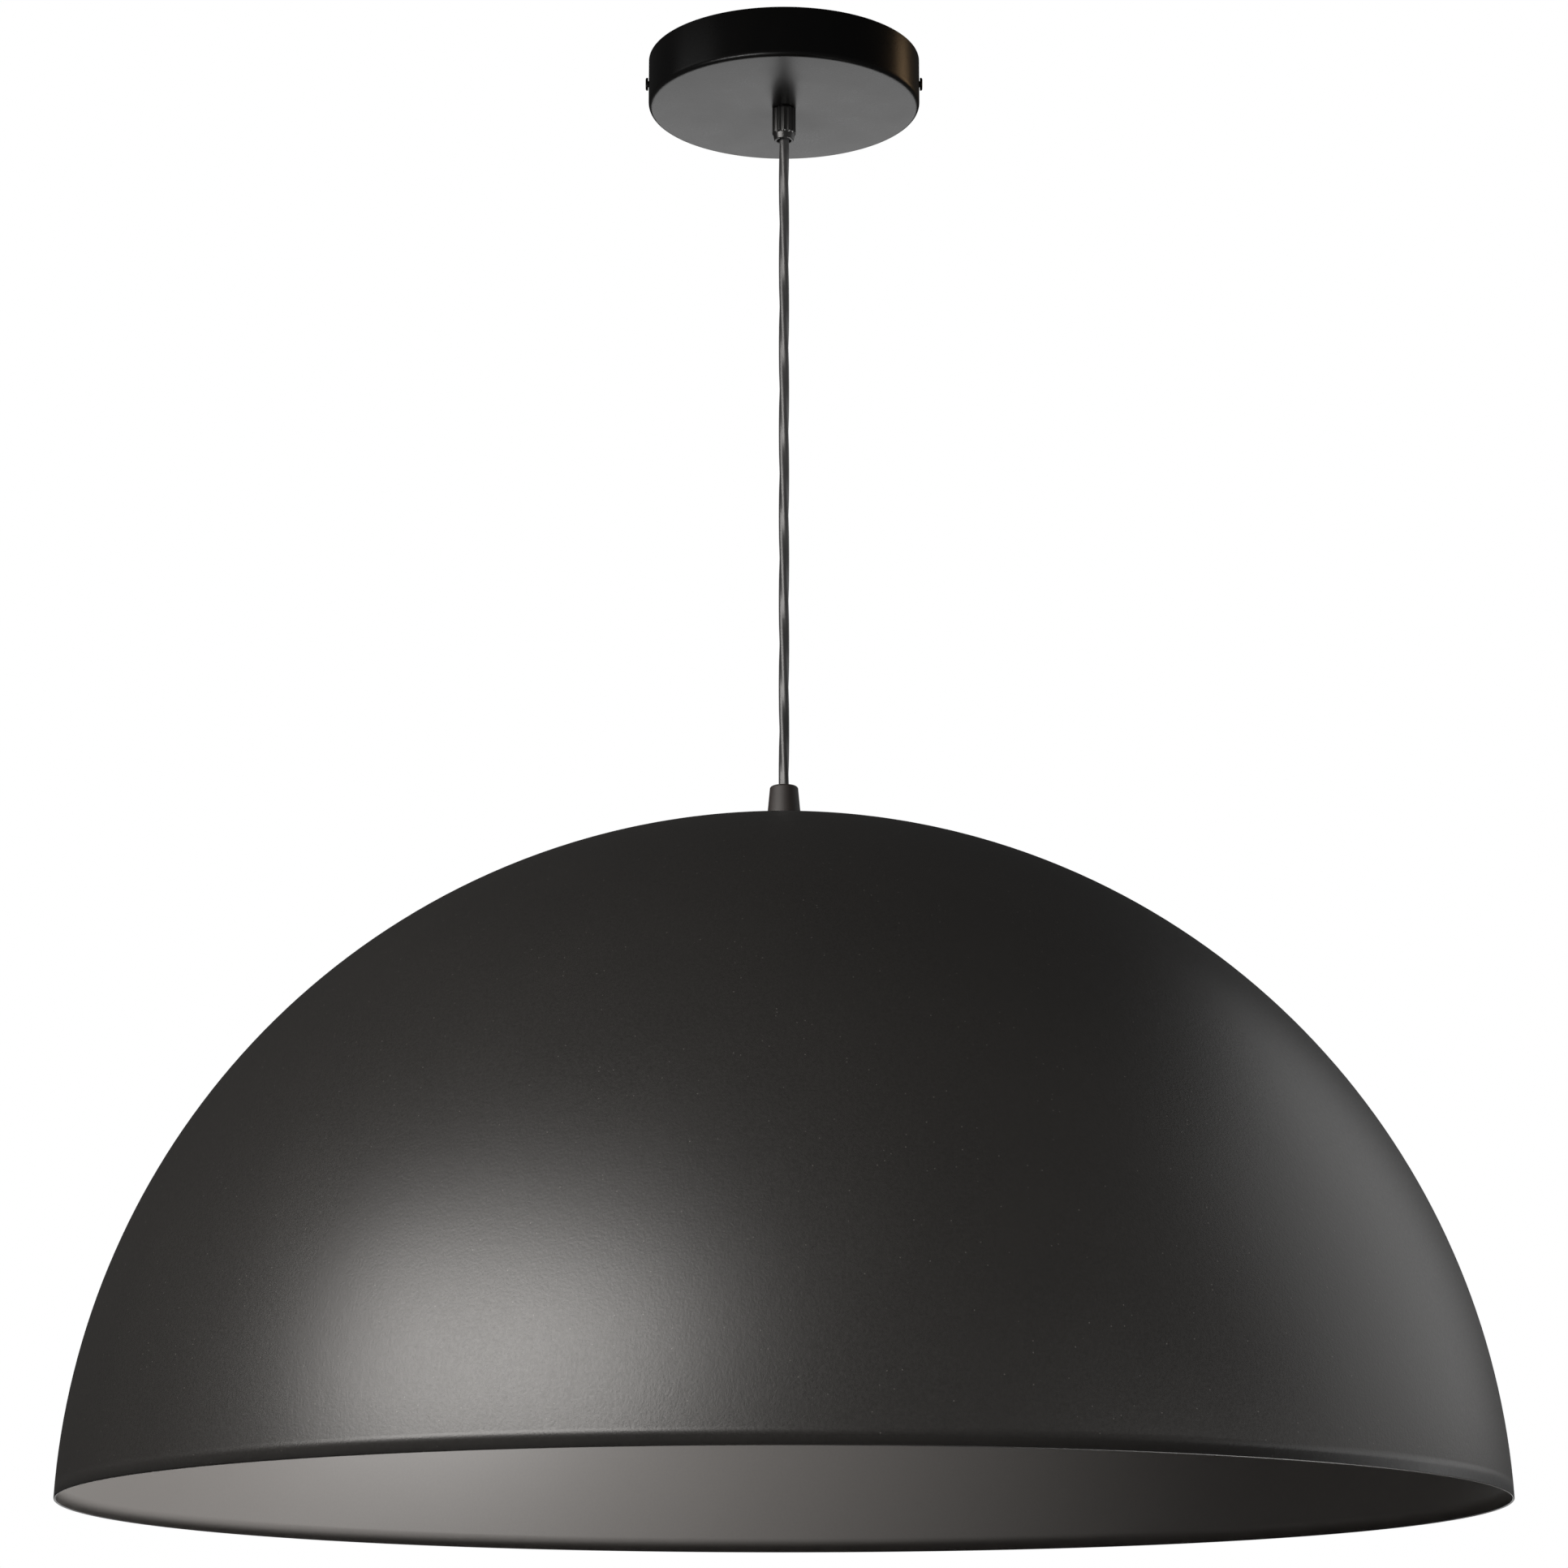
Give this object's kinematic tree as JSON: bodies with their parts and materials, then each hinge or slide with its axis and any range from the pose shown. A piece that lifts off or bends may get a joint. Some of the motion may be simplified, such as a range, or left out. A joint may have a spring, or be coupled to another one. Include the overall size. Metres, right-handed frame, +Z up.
{
  "type": "pendant ceiling light",
  "caption": "Pendant ceiling light with a flat round ceiling rose, a plain round cord and a large black hemispherical metal shade over a screw-in lamp.",
  "frame": {"origin": "middle of the ceiling bracket's top face, where it meets the ceiling", "axes": "+Z up, out of the ceiling bracket; +X along the bracket; the light hangs towards -Z; the pictured side faces -Y"},
  "size_m": [0.6, 0.6, 0.6454],
  "materials": {
    "black_glass": "moulded black glass",
    "black_gloss_paint": "satin black paint",
    "black_plastic": "moulded, satin",
    "black_powder_coat": "fine-textured matt powder coat",
    "blue_insulation": "extruded",
    "brass": "drawn",
    "brown_insulation": "extruded",
    "ceramic": "glazed",
    "cord_sheath": "satin round sheath over three twisted cores",
    "dark_plastic": "moulded, satin, warm dark grey",
    "green_insulation": "extruded, green and yellow",
    "nickel": "nickel plated",
    "opal_glass": "inside-frosted white",
    "tungsten": "drawn wire",
    "white_plastic": "moulded",
    "zinc_steel": "zinc plated"
  },
  "bodies": {
    "ceiling_rose": {"ceiling_bracket": "zinc_steel", "rose_shell": "black_gloss_paint", "rose_screw_left": "black_gloss_paint", "rose_screw_right": "black_gloss_paint", "terminal_block": "white_plastic", "block_fixing_screw": "zinc_steel", "cord_grip": "black_plastic", "grip_nut": "zinc_steel", "grip_washer": "zinc_steel", "grip_screw": "black_plastic", "bond_tag": "nickel", "bond_screw": "zinc_steel", "bond_lead": "green_insulation", "cord_in_rose": "cord_sheath", "clamp_screw_earth_lamp": "zinc_steel", "clamp_screw_earth_mains": "zinc_steel", "clamp_screw_live_lamp": "zinc_steel", "clamp_screw_live_mains": "zinc_steel", "clamp_screw_neutral_lamp": "zinc_steel", "clamp_screw_neutral_mains": "zinc_steel", "rose_lead_earth": "green_insulation", "rose_lead_live": "brown_insulation", "rose_lead_neutral": "blue_insulation", "terminal_sleeve_earth": "brass", "terminal_sleeve_live": "brass", "terminal_sleeve_neutral": "brass"},
    "cord_top": {"cord_bend_top": "cord_sheath"},
    "cord_upper": {"cord_upper": "cord_sheath"},
    "cord_lower": {"cord_lower": "cord_sheath"},
    "cord_bottom": {"cord_bend_bottom": "cord_sheath"},
    "shade": {"cap_screw": "black_plastic", "centre_contact": "brass", "cord_in_holder": "cord_sheath", "holder_cap": "dark_plastic", "holder_crown": "black_plastic", "holder_insert": "ceramic", "holder_lead_earth": "green_insulation", "holder_lead_live": "brown_insulation", "holder_lead_neutral": "blue_insulation", "holder_screw_live": "zinc_steel", "holder_screw_neutral": "zinc_steel", "holder_skirt": "black_plastic", "holder_terminal_live": "brass", "holder_terminal_neutral": "brass", "hollow_rod": "zinc_steel", "rod_nut": "zinc_steel", "rod_tag": "nickel", "shade_dome": "black_powder_coat", "shade_washer": "zinc_steel", "threaded_shell": "nickel"},
    "lamp_tip": {"lamp_tip_contact": "nickel"},
    "lamp": {"lamp_insulator": "black_glass", "lamp_cap": "nickel", "lamp_glass": "opal_glass", "lamp_stem": "ceramic", "lamp_filament": "tungsten"}
  },
  "joints": [
    {"name": "swing_front_back", "type": "hinge", "parent": "ceiling_rose", "child": "cord_top", "pos_m": [0, 0, -0.0405], "axis": [1, 0, 0], "range_deg": [-45, 45]},
    {"name": "swing_left_right", "type": "hinge", "parent": "cord_top", "child": "cord_upper", "pos_m": [0, 0, -0.0485], "axis": [0, 1, 0], "range_deg": [-45, 45]},
    {"name": "cord_twist", "type": "hinge", "parent": "cord_upper", "child": "cord_lower", "pos_m": [0, 0, -0.18765], "axis": [0, 0, 1], "range_deg": [-180, 180]},
    {"name": "tilt_front_back", "type": "hinge", "parent": "cord_lower", "child": "cord_bottom", "pos_m": [0, 0, -0.3268], "axis": [1, 0, 0], "range_deg": [-30, 30]},
    {"name": "tilt_left_right", "type": "hinge", "parent": "cord_bottom", "child": "shade", "pos_m": [0, 0, -0.3348], "axis": [0, 1, 0], "range_deg": [-30, 30]},
    {"name": "lamp_travel", "type": "slide", "parent": "shade", "child": "lamp_tip", "axis": [0, 0, -1], "range_m": [0, 0.0109]},
    {"name": "lamp_turn", "type": "hinge", "parent": "lamp_tip", "child": "lamp", "pos_m": [0, 0, -0.3851], "axis": [0, 0, -1], "range_deg": [0, 1080]}
  ],
  "couplings": [
    {"joint": "lamp_travel", "follows": "lamp_turn", "m_per_rad": 0.00057773}
  ]
}
